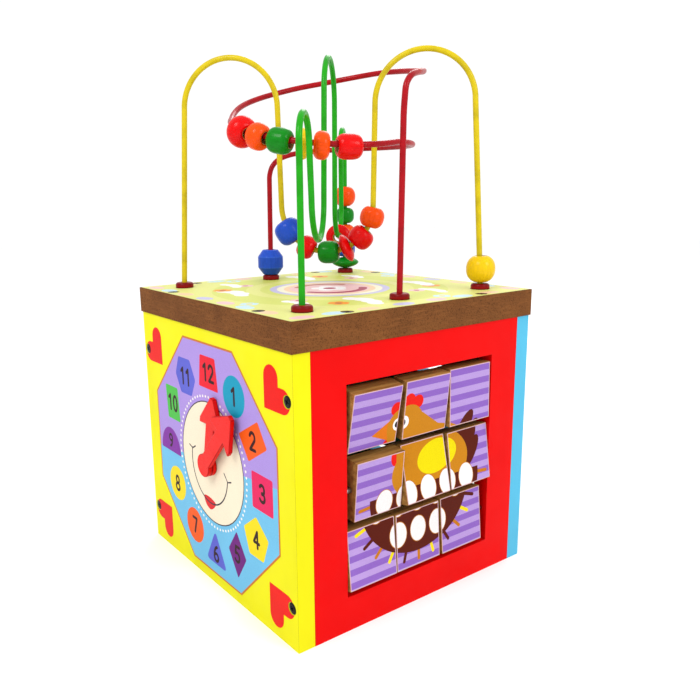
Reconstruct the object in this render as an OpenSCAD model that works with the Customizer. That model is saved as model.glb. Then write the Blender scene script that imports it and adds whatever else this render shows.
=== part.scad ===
// Baby activity cube: a wooden box with a play panel on each side, and a bead maze of three
// bent wires on its lid. Millimetres. The origin is the middle of the base and +Z is up.
// The clock is on the -Y side, the turning picture blocks are on +X, the sliding knobs on +Y
// and the meshing gears on -X. Heights on the maze are counted from the top of the lid.

/* [Box] */
// Width and depth of the box across its panels
cube_w = 200; // [198:1:204]
// Height of the side panels
panel_h = 182; // [180:1:190]
// Thickness of the side panels
panel_t = 12; // [11.5:0.5:13]
// Thickness of the lid
lid_t = 18; // [16:1:22]
// How far the lid stands out past the panels on each side
lid_overhang = 1; // [0:0.5:2]
// Thickness of the base board
base_t = 9; // [6:1:12]

/* [Picture blocks] */
// Width of the window that holds the blocks
window_w = 125.4; // [125:0.2:128]
// Height of the window that holds the blocks
window_h = 135.6; // [134:0.2:137]
// Height of the middle of the window above the base
window_z = 91; // [88:1:94]
// Width of one picture block
block_w = 38.5; // [37:0.1:38.6]
// Height of one picture block
block_h = 39; // [37:0.5:40]
// Thickness of one picture block
block_t = 12; // [10:0.5:13]

/* [Clock] */
// Height of the clock's middle above the base
clock_z = 90; // [86:1:94]
// Thickness of one clock hand
hand_t = 3; // [2.5:0.5:4]
// Length of the hour hand from its pin
hour_len = 49; // [44:1:50]
// Length of the minute hand from its pin
minute_len = 58; // [52:1:62]

/* [Bead maze] */
// Distance from the middle of the lid to each wire foot, along X or Y
foot_reach = 76; // [75:0.5:77]
// Radius of the bent wires
wire_r = 2; // [1.8:0.1:2.1]
// Radius of the hole through each bead
bead_hole_r = 4; // [3.9:0.1:4.1]
// Radius of the collar round each wire foot
collar_r = 6.5; // [6:0.5:7.5]
// Height of the collar round each wire foot
collar_h = 4; // [3:0.5:4]

/* [Sliders and gears] */
// Length of each slot, end to end
slot_len = 160; // [150:1:164]
// Width of each slot
slot_w = 9; // [8.5:0.5:10]
// Pitch diameter of a gear for each of its teeth
gear_module = 4.5; // [4.4:0.1:4.6]
// Thickness of the gears
gear_t = 8; // [6:0.5:10]

/* [Hidden] */
half_w = cube_w / 2;
inside_w = cube_w - 2 * panel_t;
lid_z = panel_h + lid_t;
play = 0.4;
running = 0.1;

// Screws: the lid's go down into the panels, the panels' go in from the two wide panels.
screw_head_r = 4;
screw_r = 1.8;
screw_len = 30;
screw_mid = half_w - panel_t / 2;
lid_screw_side = 57;
panel_screw_heights = [27, 154];

// Picture blocks: three on each of three rods, level with the front of the panel.
rod_r = 2;
rod_x = half_w - block_t / 2;
rod_drop = 0.6;
row_pitch = 44.4;
// Row counted from the top, place along the rod, and how far each block's top leans out
blocks = [
    ["block_1", 0, -40.5, 10.5], ["block_2", 0, 2, 6.5], ["block_3", 0, 42.2, -1],
    ["block_4", 1, -37, 5], ["block_5", 1, 2.5, -12], ["block_6", 1, 43, -8],
    ["block_7", 2, -42.8, -5.5], ["block_8", 2, -3.6, -3.5], ["block_9", 2, 36.8, -5],
];

// Clock: both hands turn on one pin.
pin_r = 3;
hub_r = 8;
hour_angle = 12;
minute_angle = 43;
hour_front = -half_w - play - hand_t;
minute_front = hour_front - play - hand_t;

// Wires. Each loop is its middle along the wire's plane, its radius and the height of its
// middle; arches and dips take turns, and the straight legs between them may lean a little.
foot_span = 2 * sqrt(2) * foot_reach;
foot_depth = 14;
arc_steps = 18;
yellow_loops = [[40.3, 33.4, 125.4], [foot_span / 2, 32.6, 58.8], [foot_span - 40.3, 33.4, 126]];
green_loops = [
    [18, 17.2, 94.6], [66.5, 26.2, 63.3], [127, 26.9, 132.5], [170, 20.4, 54.4],
    [foot_span - 12.8, 12.8, 104.5],
];

// The red wire carries its beads on a true circle that tilts down towards one side.
strand_mid = [-2, -2, 111.8];
strand_r = 62.5;
strand_turn = 342;
strand_tilt = 14.8;
strand_start = -109;
strand_end = 33;
// Control points before and after that circle: angle round the middle, radius, height
red_rise = [
    [0, 77.4, 92], [0, 78.2, 112], [0.3, 78.6, 122], [1.2, 78.6, 130], [5, 77.4, 135.5],
    [13, 74, 138.8], [24, 70, 141.2], [36, 67, 143.6], [48, 66, 146], [60, 66, 148.2],
    [74, 66, 150.6], [88, 66, 152.6], [103, 66, 153.8], [118, 66, 153.1], [132, 66, 151.3],
    [146, 66, 148.8], [160, 66, 145.8], [174, 66.2, 141.8], [188, 66.5, 137.2],
    [201, 66.7, 132.2], [212, 66.5, 127.3], [222, 66, 122],
];
red_fall = [
    [27, 59.3, 98.6], [40, 59.3, 98.6], [54, 59.5, 98.8], [70, 61, 99.2], [88, 63, 99.6],
    [106, 65, 100], [124, 66.5, 100.2], [140, 68, 99.8], [154, 70, 98.8], [165, 71.8, 97],
    [173, 73.2, 93.5], [177.5, 73.9, 88.5], [179.5, 74.2, 82.5], [180, 74.4, 76],
    [180, 74.8, 60],
];

// Beads: name, place, outer diameter, length, squareness of the profile (2 is a ball), colour.
// A strand bead's place is its angle on the tilted circle.
strand_beads = [
    ["strand_bead_1", -73.5, 20.5, 17.2, 2.1, "red"],
    ["strand_bead_2", -58, 17.2, 14.6, 2.4, "orange"],
    ["strand_bead_3", -42.6, 16.2, 16.2, 3.2, "green"],
    ["strand_bead_4", -28.5, 19, 9.8, 2, "gold"],
    ["strand_bead_5", -18.2, 17.4, 11.2, 2.6, "orange"],
    ["strand_bead_6", -2.5, 15.8, 17, 3.2, "red"],
];
strand_drop = 1.3;
// A dip bead's place is its angle from the bottom of the yellow wire's dip.
dip_beads = [
    ["dip_bead_1", -56.5, 19.5, 17.5, 2.8, "royalblue"],
    ["dip_bead_2", -27, 16.5, 13.6, 2.5, "red"],
    ["dip_bead_3", 1.5, 16, 16, 3, "green"],
    ["dip_bead_4", 24.5, 20.5, 8.6, 1.7, "red"],
    ["dip_bead_5", 46.5, 17.5, 15, 2.5, "red"],
    ["dip_bead_6", 74.5, 17, 15.5, 2.4, "orange"],
];
dip_drop = 0.4;
// A stack bead's place is the height of its lower end.
stack_beads = [
    ["stack_bead_1", 4.3, 23, 9.3, 1.7, "green"],
    ["stack_bead_2", 13.9, 17, 13.1, 3.2, "royalblue"],
    ["stack_bead_3", 27.3, 16.5, 14, 2.6, "orange"],
    ["stack_bead_4", 41.6, 15.5, 13.6, 2.8, "green"],
    ["stack_bead_5", 55.5, 18, 17.5, 2.2, "orange"],
];
hoop_disc_size = [20, 8, 2.2];
hoop_drop = 1.2;
foot_bead_size = [20, 19.5];

// Sliders: name, height of the slot, place along it at rest, sides of the knob (0 is round).
sliders = [
    ["slider_1", 130, -45, 0, "red"], ["slider_2", 88, 20, 4, "gold"],
    ["slider_3", 46, -10, 6, "green"],
];
knob_t = 11;
washer_r = 9;
washer_t = 3;

// Gears: a train of three, the second and third following the first.
gear_teeth = [16, 12, 12];
gear_turns = [-40, 50];
first_gear = [-42, 110];
mesh_gap = 0.6;
peg_r = 5;
peg_head_r = 8.5;
peg_head_t = 3.4;

// ---- box ----

// A countersunk screw whose head is flush with Z = 0 and whose point is down
module screw() {
    head_h = 2.4;
    translate([0, 0, -head_h])
        cylinder(h = head_h, r1 = screw_r, r2 = screw_head_r, $fn = 32);
    translate([0, 0, -screw_len])
        cylinder(h = screw_len - head_h, r = screw_r, $fn = 32);
}

module lid_screws() {
    color("#1c1c1e")
        for (quarter = [0 : 90 : 270], side = [-lid_screw_side, lid_screw_side])
            rotate(quarter)
                translate([screw_mid, side, lid_z])
                    screw();
}

module panel_screws() {
    color("#1c1c1e")
        for (half = [0, 180], side = [-screw_mid, screw_mid], height = panel_screw_heights)
            rotate(half)
                translate([side, -half_w, height])
                    rotate([90, 0, 0])
                        screw();
}

// The six places where wires stand in the lid
module at_feet() {
    for (p = [[-1, -1], [1, 1], [1, -1], [-1, 1], [1, 0], [-1, 0]])
        translate([p.x * foot_reach, p.y * foot_reach, lid_z])
            children();
}

module lid() {
    lid_w = cube_w + 2 * lid_overhang;
    color("#8a5a34")
        difference() {
            translate([-lid_w / 2, -lid_w / 2, panel_h])
                cube([lid_w, lid_w, lid_t]);
            lid_screws();
            at_feet()
                translate([0, 0, -foot_depth])
                    cylinder(h = foot_depth + 1, r = wire_r, $fn = 32);
        }
}

module base_board() {
    color("#b58a58")
        translate([-inside_w / 2, -inside_w / 2, 0])
            cube([inside_w, inside_w, base_t]);
}

// A panel as wide as the box, standing on the -Y side
module wide_panel() {
    translate([-half_w, -half_w, 0])
        cube([cube_w, panel_t, panel_h]);
}

// A panel that fits between the two wide ones, standing on the +X side
module inset_panel() {
    translate([half_w - panel_t, -inside_w / 2, 0])
        cube([panel_t, inside_w, panel_h]);
}

module clock_panel() {
    color("#ede82a")
        difference() {
            wide_panel();
            lid_screws();
            panel_screws();
            translate([0, -half_w - 1, clock_z])
                rotate([-90, 0, 0])
                    cylinder(h = panel_t + 2, r = pin_r + running, $fn = 48);
        }
}

module window_panel() {
    color("#e60000")
        difference() {
            inset_panel();
            lid_screws();
            panel_screws();
            block_rods();
            translate([half_w - panel_t - 1, -window_w / 2, window_z - window_h / 2])
                cube([panel_t + 2, window_w, window_h]);
        }
}

module slider_panel() {
    slot_run = slot_len - slot_w;
    color("#5bbde0")
        difference() {
            rotate(180)
                wide_panel();
            lid_screws();
            panel_screws();
            for (s = sliders)
                translate([0, half_w + 1, s[1]])
                    rotate([90, 0, 0])
                        linear_extrude(panel_t + 2)
                            union() {
                                square([slot_run, slot_w], center = true);
                                for (x = [-slot_run / 2, slot_run / 2])
                                    translate([x, 0])
                                        circle(d = slot_w, $fn = 48);
                            }
        }
}

module gear_panel() {
    color("#8cc63f")
        difference() {
            rotate(180)
                inset_panel();
            lid_screws();
            panel_screws();
            gear_pegs();
        }
}

// ---- picture blocks ----

function rod_z(row) = window_z - rod_drop + (1 - row) * row_pitch;

module block_rods() {
    color("#b9bcc0")
        for (row = [0 : 2])
            translate([rod_x, inside_w / 2, rod_z(row)])
                rotate([90, 0, 0])
                    cylinder(h = inside_w, r = rod_r, $fn = 32);
}

// A flat square block with a picture on both sides, its top leaning out by lean degrees
module picture_block(row, middle, lean) {
    color("#a6743f")
        translate([rod_x, middle, rod_z(row)])
            rotate([0, lean, 0])
                difference() {
                    cube([block_t, block_w, block_h], center = true);
                    rotate([90, 0, 0])
                        cylinder(h = block_w + 2, r = rod_r + running, center = true, $fn = 32);
                }
}

// ---- clock ----

module clock_pin() {
    pin_back = -half_w + panel_t + 4;
    pin_front = minute_front + 1;
    color("#b9bcc0")
        translate([0, pin_front, clock_z])
            rotate([-90, 0, 0])
                cylinder(h = pin_back - pin_front, r = pin_r, $fn = 48);
}

module pin_washer() {
    color("#b9bcc0")
        translate([0, -half_w + panel_t + play, clock_z])
            rotate([-90, 0, 0])
                difference() {
                    cylinder(h = 1.5, r = 8, $fn = 48);
                    translate([0, 0, -1])
                        cylinder(h = 4, r = pin_r, $fn = 48);
                }
}

// An arrow-shaped hand with its hub at the clock's middle, its front face at y = front
module clock_hand(front, len, angle) {
    shaft = 5.5;
    wing = 14;
    head = 21;
    blunt = 2;
    translate([0, front, clock_z])
        rotate([0, angle, 0])
            rotate([90, 0, 0])
                translate([0, 0, -hand_t])
                    linear_extrude(hand_t)
                        union() {
                            circle(r = hub_r, $fn = 64);
                            polygon([
                                [-shaft, 0], [shaft, 0], [shaft, len - head], [wing, len - head - 2],
                                [wing, len - head + 2], [blunt, len], [-blunt, len],
                                [-wing, len - head + 2], [-wing, len - head - 2], [-shaft, len - head]
                            ]);
                        }
}

module hour_hand() {
    color("#f01505")
        difference() {
            clock_hand(hour_front, hour_len, hour_angle);
            translate([0, hour_front - 1, clock_z])
                rotate([-90, 0, 0])
                    cylinder(h = hand_t + 2, r = pin_r + running, $fn = 48);
        }
}

module minute_hand() {
    color("#f01505")
        difference() {
            clock_hand(minute_front, minute_len, minute_angle);
            clock_pin();
        }
}

// ---- bead maze ----

module wire_collars() {
    color("#a81010")
        at_feet()
            difference() {
                union() {
                    cylinder(h = collar_h - 1, r = collar_r, $fn = 48);
                    translate([0, 0, collar_h - 1])
                        cylinder(h = 1, r1 = collar_r, r2 = collar_r - 1, $fn = 48);
                }
                translate([0, 0, -1])
                    cylinder(h = collar_h + 2, r = wire_r, $fn = 32);
            }
}

// A wire bent in one upright plane: from a foot at the origin, along +X, back to the lid.
// It stands upright through the lid and the collar, and leans only above them.
function flat_route(loops) = concat(
    [[0, 0, -foot_depth], [0, 0, collar_h + 0.2]],
    [
        for (i = [0 : len(loops) - 1], k = [0 : arc_steps])
            let (a = 180 * k / arc_steps, up = i % 2 == 0 ? 1 : -1, r = loops[i][1])
                [loops[i][0] - r * cos(a), 0, loops[i][2] + up * r * sin(a)]
    ],
    [[foot_span, 0, collar_h + 0.2], [foot_span, 0, -foot_depth]]
);

// The upright planes of the yellow wire and the green wire
module in_yellow_plane() {
    translate([-foot_reach, -foot_reach, lid_z])
        rotate(45)
            children();
}

module in_green_plane() {
    translate([foot_reach, -foot_reach, lid_z])
        rotate(135)
            children();
}

module yellow_wire() {
    color("#d9c21e")
        in_yellow_plane()
            bent_bar(flat_route(yellow_loops), wire_r, flat = true);
}

module green_wire() {
    color("#1e9a12")
        in_green_plane()
            bent_bar(flat_route(green_loops), wire_r, flat = true);
}

function unit(v) = v / norm(v);

function polar(p) = [p[1] * cos(p[0]), p[1] * sin(p[0]), lid_z + p[2]];

// A point of the tilted circle at angle a
function strand_point(a) =
    let (
        dip = [
            cos(strand_tilt) * cos(strand_turn),
            cos(strand_tilt) * sin(strand_turn),
            -sin(strand_tilt)
        ],
        level = [-sin(strand_turn), cos(strand_turn), 0]
    )
    strand_mid + [0, 0, lid_z] + strand_r * (cos(a) * dip + sin(a) * level);

// A smooth curve through the middle points of a list, two steps to each
function smooth(points) = [
    for (i = [1 : len(points) - 3], t = [0, 0.5])
        let (a = points[i - 1], b = points[i], c = points[i + 1], d = points[i + 2])
            b + t * (c - a) / 2 + t * t * (a - 2.5 * b + 2 * c - d / 2)
            + t * t * t * (1.5 * b - 1.5 * c + d / 2 - a / 2)
];

function red_route() =
    let (
        step = (strand_end - strand_start) / 18,
        circle_points = [for (a = [strand_start : step : strand_end + 0.01]) strand_point(a)],
        rise = [for (p = red_rise) polar(p)],
        fall = [for (p = red_fall) polar(p)]
    )
    concat(
        [[foot_reach, 0, lid_z - foot_depth], [foot_reach, 0, lid_z + collar_h + 0.2]],
        smooth(concat(rise, [circle_points[0], circle_points[1]])),
        circle_points,
        smooth(concat([circle_points[17], circle_points[18]], fall)),
        [[-foot_reach, 0, lid_z + collar_h + 0.2], [-foot_reach, 0, lid_z - foot_depth]]
    );

// A round bar along a route that goes round the Z axis, or one that stays flat on Y = 0
module bent_bar(route, r, flat = false, sides = 12) {
    last = len(route) - 1;
    rings = [
        for (i = [0 : last])
            let (
                along = unit(route[min(i + 1, last)] - route[max(i - 1, 0)]),
                out = flat ? [0, 1, 0] : [route[i].x, route[i].y, 0],
                side = unit(out - (out * along) * along),
                across = cross(along, side)
            )
            for (k = [0 : sides - 1])
                route[i] + r * (cos(360 * k / sides) * side + sin(360 * k / sides) * across)
    ];
    walls = [
        for (i = [0 : last - 1], k = [0 : sides - 1])
            let (a = i * sides + k, b = i * sides + (k + 1) % sides)
            for (face = [[a, a + sides, b + sides], [a, b + sides, b]]) face
    ];
    start_cap = [for (k = [0 : sides - 1]) k];
    end_cap = [for (k = [sides - 1 : -1 : 0]) last * sides + k];
    polyhedron(points = rings, faces = concat(walls, [start_cap, end_cap]));
}

module red_wire() {
    color("#a0101a")
        bent_bar(red_route(), wire_r);
}

// A bead along Z: a rounded profile turned round the axis, and the hole through it
module bead(d, len, squareness) {
    profile = [
        for (a = [-90 : 7.5 : 90]) [
            d / 2 * pow(abs(cos(a)), 2 / squareness),
            len / 2 * sign(a) * pow(abs(sin(a)), 2 / squareness)
        ]
    ];
    difference() {
        rotate_extrude($fn = 64)
            polygon(profile);
        translate([0, 0, -len])
            cylinder(h = 2 * len, r = bead_hole_r, $fn = 48);
    }
}

// A straight-sided bead with a bevel round each end
module cut_bead(d, len) {
    bevel = 5.5;
    difference() {
        union() {
            for (half = [0, 180])
                rotate([half, 0, 0]) {
                    cylinder(h = len / 2 - bevel, r = d / 2, $fn = 64);
                    translate([0, 0, len / 2 - bevel])
                        cylinder(h = bevel, r1 = d / 2, r2 = d / 2 - 4, $fn = 64);
                }
        }
        translate([0, 0, -len])
            cylinder(h = 2 * len, r = bead_hole_r, $fn = 48);
    }
}

module strand_bead(b) {
    color(b[5])
        translate(strand_mid + [0, 0, lid_z])
            rotate(strand_turn)
                rotate([0, strand_tilt, 0])
                    rotate(b[1])
                        translate([strand_r, 0, -strand_drop])
                            rotate([90, 0, 0])
                                bead(b[2], b[3], b[4]);
}

// Puts a bead on the curve of a dip, at an angle from its bottom
module on_dip(loop, angle, drop) {
    translate([loop[0], 0, loop[2]])
        rotate([0, -angle, 0])
            translate([0, 0, -loop[1] - drop])
                rotate([0, 90, 0])
                    children();
}

module dip_bead(b) {
    color(b[5])
        in_yellow_plane()
            on_dip(yellow_loops[1], b[1], dip_drop)
                bead(b[2], b[3], b[4]);
}

module hoop_disc() {
    color("red")
        in_green_plane()
            on_dip(green_loops[3], 0, hoop_drop)
                bead(hoop_disc_size[0], hoop_disc_size[1], hoop_disc_size[2]);
}

module stack_bead(b) {
    color(b[5])
        translate([-foot_reach, foot_reach, lid_z + b[1] + b[3] / 2])
            bead(b[2], b[3], b[4]);
}

module yellow_foot_bead() {
    color("gold")
        translate([foot_reach, foot_reach, lid_z + collar_h + 0.3 + foot_bead_size[1] / 2])
            bead(foot_bead_size[0], foot_bead_size[1], 2.3);
}

module blue_foot_bead() {
    color("royalblue")
        translate([-foot_reach, 0, lid_z + collar_h + 0.3 + foot_bead_size[1] / 2])
            cut_bead(foot_bead_size[0], foot_bead_size[1]);
}

// ---- sliders ----

// A knob outside the panel on a neck that goes through its slot
module slider(s) {
    neck_r = slot_w / 2 - 0.5;
    neck_len = panel_t + play + washer_t + play;
    color(s[4])
        translate([s[2], half_w + play, s[1]])
            rotate([-90, 0, 0]) {
                if (s[3] == 0)
                    cylinder(h = knob_t, r = 13, $fn = 64);
                else
                    rotate(180 / s[3])
                        cylinder(h = knob_t, r = s[3] == 4 ? 16.5 : 14, $fn = s[3]);
                translate([0, 0, -neck_len])
                    cylinder(h = neck_len, r = neck_r, $fn = 48);
            }
}

module slider_washer(s) {
    color("#d9c7a0")
        translate([s[2], half_w - panel_t - play, s[1]])
            rotate([90, 0, 0])
                difference() {
                    cylinder(h = washer_t, r = washer_r, $fn = 64);
                    translate([0, 0, -1])
                        cylinder(h = washer_t + 2, r = slot_w / 2 - 0.5, $fn = 48);
                }
}

// ---- gears ----

function pitch_r(i) = gear_teeth[i] * gear_module / 2;

// Middle of gear i on the panel: [y, z]
function gear_mid(i) =
    i == 0
        ? first_gear
        : gear_mid(i - 1) + (pitch_r(i - 1) + pitch_r(i) + mesh_gap)
            * [cos(gear_turns[i - 1]), sin(gear_turns[i - 1])];

// The angle of one tooth of gear i, so that it meshes with the gear before it
function gear_phase(i) =
    i == 0
        ? gear_turns[0]
        : gear_turns[i - 1] + 180
            + (180 + (gear_turns[i - 1] - gear_phase(i - 1)) * gear_teeth[i - 1]) / gear_teeth[i];

// Turns a flat shape on X and Y into one on the -X side of the box, growing outwards
module on_gear_side(i, from) {
    translate([-half_w - from, gear_mid(i).x, gear_mid(i).y])
        mirror([1, 0, 0])
            rotate([90, 0, 90])
                children();
}

module gear(i) {
    tooth_pitch = PI * gear_module;
    root_r = pitch_r(i) - 1.05 * gear_module;
    tip_r = pitch_r(i) + 0.75 * gear_module;
    color(["red", "gold", "royalblue"][i])
        on_gear_side(i, play)
            linear_extrude(gear_t)
                difference() {
                    union() {
                        circle(r = root_r + 0.3, $fn = 96);
                        for (k = [0 : gear_teeth[i] - 1])
                            rotate(gear_phase(i) + 360 * k / gear_teeth[i])
                                polygon([
                                    [root_r - 2, -0.31 * tooth_pitch], [root_r, -0.31 * tooth_pitch],
                                    [tip_r, -0.14 * tooth_pitch], [tip_r, 0.14 * tooth_pitch],
                                    [root_r, 0.31 * tooth_pitch], [root_r - 2, 0.31 * tooth_pitch]
                                ]);
                    }
                    circle(r = peg_r + running, $fn = 48);
                }
}

module gear_pegs() {
    peg_depth = 10;
    color("#d9c7a0")
        for (i = [0 : 2]) {
            on_gear_side(i, -peg_depth)
                cylinder(h = peg_depth + gear_t + 2 * play, r = peg_r, $fn = 48);
            on_gear_side(i, gear_t + 2 * play)
                cylinder(h = peg_head_t, r = peg_head_r, $fn = 64);
        }
}

lid();
base_board();
clock_panel();
window_panel();
slider_panel();
gear_panel();
lid_screws();
panel_screws();
block_rods();
for (b = blocks) picture_block(b[1], b[2], b[3]);
clock_pin();
pin_washer();
hour_hand();
minute_hand();
wire_collars();
yellow_wire();
green_wire();
red_wire();
for (b = strand_beads) strand_bead(b);
for (b = dip_beads) dip_bead(b);
for (b = stack_beads) stack_bead(b);
hoop_disc();
yellow_foot_bead();
blue_foot_bead();
for (s = sliders) slider(s);
for (s = sliders) slider_washer(s);
gear(0);  // gear_1
gear(1);  // gear_2
gear(2);  // gear_3
gear_pegs();
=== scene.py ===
"""The looks of the baby activity cube: paint, print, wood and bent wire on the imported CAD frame."""

import math

import bmesh
import bpy
from mathutils import Euler, Matrix, Vector
from mathutils.geometry import delaunay_2d_cdt


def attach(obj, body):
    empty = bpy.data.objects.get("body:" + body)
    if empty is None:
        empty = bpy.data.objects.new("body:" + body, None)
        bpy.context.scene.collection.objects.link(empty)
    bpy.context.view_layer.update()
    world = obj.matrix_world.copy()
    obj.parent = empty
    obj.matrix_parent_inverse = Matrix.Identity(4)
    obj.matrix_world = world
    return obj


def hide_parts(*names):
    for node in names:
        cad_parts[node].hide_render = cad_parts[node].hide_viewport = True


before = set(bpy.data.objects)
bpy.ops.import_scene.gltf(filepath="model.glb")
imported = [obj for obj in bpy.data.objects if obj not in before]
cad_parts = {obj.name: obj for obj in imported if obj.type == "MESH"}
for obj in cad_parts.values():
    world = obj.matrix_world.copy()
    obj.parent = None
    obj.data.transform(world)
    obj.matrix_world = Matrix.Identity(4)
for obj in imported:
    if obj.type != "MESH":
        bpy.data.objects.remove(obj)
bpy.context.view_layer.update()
scene = bpy.context.scene
MM = 0.001
# No colour reflects more than this share of its hex value, so that bright light doesn't bleach it.
ALBEDO = 0.82
GLOSS = 0.06


# ---- camera, floor and light ----


def set_the_stage():
    """The camera at the photograph's angle, a pale floor, and soft studio light."""
    scene.view_settings.view_transform = "Standard"
    camera = bpy.data.objects.new("camera", bpy.data.cameras.new("camera"))
    camera.location = Vector((416.9, -313.2, 265.9)) * MM
    camera.rotation_euler = [math.radians(turn) for turn in (77.5, 0.8, 53.37)]
    camera.data.lens = 37.28
    camera.data.sensor_width = 36
    camera.data.shift_x = 0.0384
    camera.data.shift_y = 0.0077
    scene.collection.objects.link(camera)
    scene.camera = camera

    floor_size = 4
    corners = [(x * floor_size, y * floor_size, 0) for x, y in ((-1, -1), (1, -1), (1, 1), (-1, 1))]
    mesh = bpy.data.meshes.new("floor")
    mesh.from_pydata(corners, [], [(0, 1, 2, 3)])
    floor = bpy.data.objects.new("floor", mesh)
    scene.collection.objects.link(floor)
    white = Look("floor_white", "#fbfbfa", 0.7)
    white.shader.inputs["Base Color"].default_value = linear("#fbfbfa", 1 / ALBEDO)
    mesh.materials.append(white.material)

    scene.world = bpy.data.worlds.new("studio")
    scene.world.use_nodes = True
    scene.world.node_tree.nodes["Background"].inputs["Color"].default_value = (1, 1, 1, 1)
    scene.world.node_tree.nodes["Background"].inputs["Strength"].default_value = 1.05
    soft_light("key_light", (0.3, -1.0, 1.2), 0.5, 9)
    soft_light("side_light", (1.2, 0.3, 0.9), 0.5, 6)
    soft_light("rear_light", (-0.8, 0.9, 1.1), 0.6, 5)


def soft_light(name, place, size, power):
    """A square area light that faces the middle of the cube."""
    light = bpy.data.lights.new(name, "AREA")
    light.size = size
    light.energy = power
    lamp = bpy.data.objects.new(name, light)
    lamp.location = place
    aim = Vector((0, 0, 0.18)) - Vector(place)
    lamp.rotation_euler = aim.to_track_quat("-Z", "Y").to_euler()
    scene.collection.objects.link(lamp)


# ---- materials ----


def linear(colour, shade=1.0):
    """A hex colour as linear RGBA, times shade."""
    parts = [int(colour[i : i + 2], 16) / 255 for i in (1, 3, 5)]
    curve = [c / 12.92 if c <= 0.04045 else ((c + 0.055) / 1.055) ** 2.4 for c in parts]
    return [min(1.0, c * shade * ALBEDO) for c in curve] + [1.0]


class Look:
    """One procedural material, in object coordinates, whose scales are counts per metre."""

    def __init__(self, name, colour, roughness, **sockets):
        self.material = bpy.data.materials.new(name)
        self.material.use_nodes = True
        self.tree = self.material.node_tree
        self.shader = self.tree.nodes["Principled BSDF"]
        self.colour = colour
        self.shader.inputs["Base Color"].default_value = linear(colour)
        self.shader.inputs["Roughness"].default_value = roughness
        self.shader.inputs["Specular IOR Level"].default_value = GLOSS
        for socket, value in sockets.items():
            self.shader.inputs[socket.replace("_", " ")].default_value = value
        self.place = self.add("ShaderNodeTexCoord").outputs["Object"]
        self.height = None

    def add(self, kind, **settings):
        node = self.tree.nodes.new(kind)
        for setting, value in settings.items():
            setattr(node, setting, value)
        return node

    def feed(self, socket, value):
        if isinstance(value, bpy.types.NodeSocket):
            self.tree.links.new(value, socket)
        else:
            socket.default_value = value

    def noise(self, scale, low=0.0, high=1.0, detail=3, stretch=(1, 1, 1)):
        """Smooth noise spread out between low and high."""
        mapping = self.add("ShaderNodeMapping")
        mapping.inputs["Scale"].default_value = stretch
        self.feed(mapping.inputs["Vector"], self.place)
        noise = self.add("ShaderNodeTexNoise")
        noise.inputs["Scale"].default_value = scale
        noise.inputs["Detail"].default_value = detail
        self.feed(noise.inputs["Vector"], mapping.outputs["Vector"])
        spread = self.add("ShaderNodeMapRange")
        limits = {"From Min": 0.3, "From Max": 0.7, "To Min": low, "To Max": high}
        for socket, value in limits.items():
            spread.inputs[socket].default_value = value
        self.feed(spread.inputs["Value"], noise.outputs["Fac"])
        return spread.outputs["Result"]

    def mix(self, factor, first, second):
        node = self.add("ShaderNodeMix", data_type="RGBA")
        self.feed(node.inputs["Factor"], factor)
        self.feed(node.inputs[6], first)
        self.feed(node.inputs[7], second)
        return node.outputs[2]

    def tint(self, colour):
        self.feed(self.shader.inputs["Base Color"], colour)
        return self

    def rough(self, value):
        self.feed(self.shader.inputs["Roughness"], value)
        return self

    def bump(self, height, depth):
        """Raises the surface by height times depth, which is in millimetres."""
        node = self.add("ShaderNodeBump")
        node.inputs["Strength"].default_value = 1.0
        node.inputs["Distance"].default_value = depth * MM
        self.feed(node.inputs["Height"], height)
        if self.height is not None:
            self.feed(node.inputs["Normal"], self.height)
        self.height = node.outputs["Normal"]
        self.feed(self.shader.inputs["Normal"], self.height)
        return self


def paint(name, colour, roughness=0.5):
    """Sprayed satin paint on fibreboard: cloudy by a few percent, with a fine orange peel."""
    look = Look(name, colour, roughness)
    clouds = look.noise(22, 0.0, 1.0)
    look.tint(look.mix(clouds, linear(colour, 0.94), linear(colour, 1.03)))
    look.rough(look.noise(60, roughness - 0.06, roughness + 0.08))
    return look.bump(look.noise(700, detail=2), 0.012).material


def worn_paint(name, colour, shade=0.75, core="#8a5c30"):
    """The same paint along an edge, darker and rubbed through to the board here and there."""
    look = Look(name, colour, 0.5)
    wear = look.noise(260, -1.9, 1.15, detail=4)
    look.tint(look.mix(wear, linear(colour, shade), linear(core)))
    return look.bump(look.noise(900), 0.03).material


def fibreboard(name, colour, dark):
    """Bare pressed fibreboard: fine specks, faint sawn streaks and a dull surface."""
    look = Look(name, colour, 0.72)
    blotches = look.noise(35, 0.0, 0.55, detail=5)
    body = look.mix(blotches, linear(colour), linear(dark))
    specks = look.noise(1500, -0.6, 0.75, detail=2)
    body = look.mix(specks, body, linear(dark, 0.7))
    streaks = look.noise(60, -0.5, 0.4, detail=4, stretch=(1, 1, 14))
    look.tint(look.mix(streaks, body, linear(colour, 1.35)))
    look.bump(look.noise(1300, detail=4), 0.05)
    return look.bump(look.noise(90, stretch=(1, 1, 12)), 0.03).material


def wood(name, light, dark, stretch=(14, 1, 14), roughness=0.55):
    """Sanded wood, whose grain runs where stretch is smallest."""
    look = Look(name, light, roughness)
    rings = look.noise(26, 0.0, 1.0, detail=6, stretch=stretch)
    body = look.mix(rings, linear(light), linear(dark))
    pores = look.noise(130, -1.2, 0.7, detail=3, stretch=stretch)
    look.tint(look.mix(pores, body, linear(dark, 0.6)))
    look.rough(look.noise(40, roughness - 0.08, roughness + 0.1))
    return look.bump(look.noise(110, detail=5, stretch=stretch), 0.06).material


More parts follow.
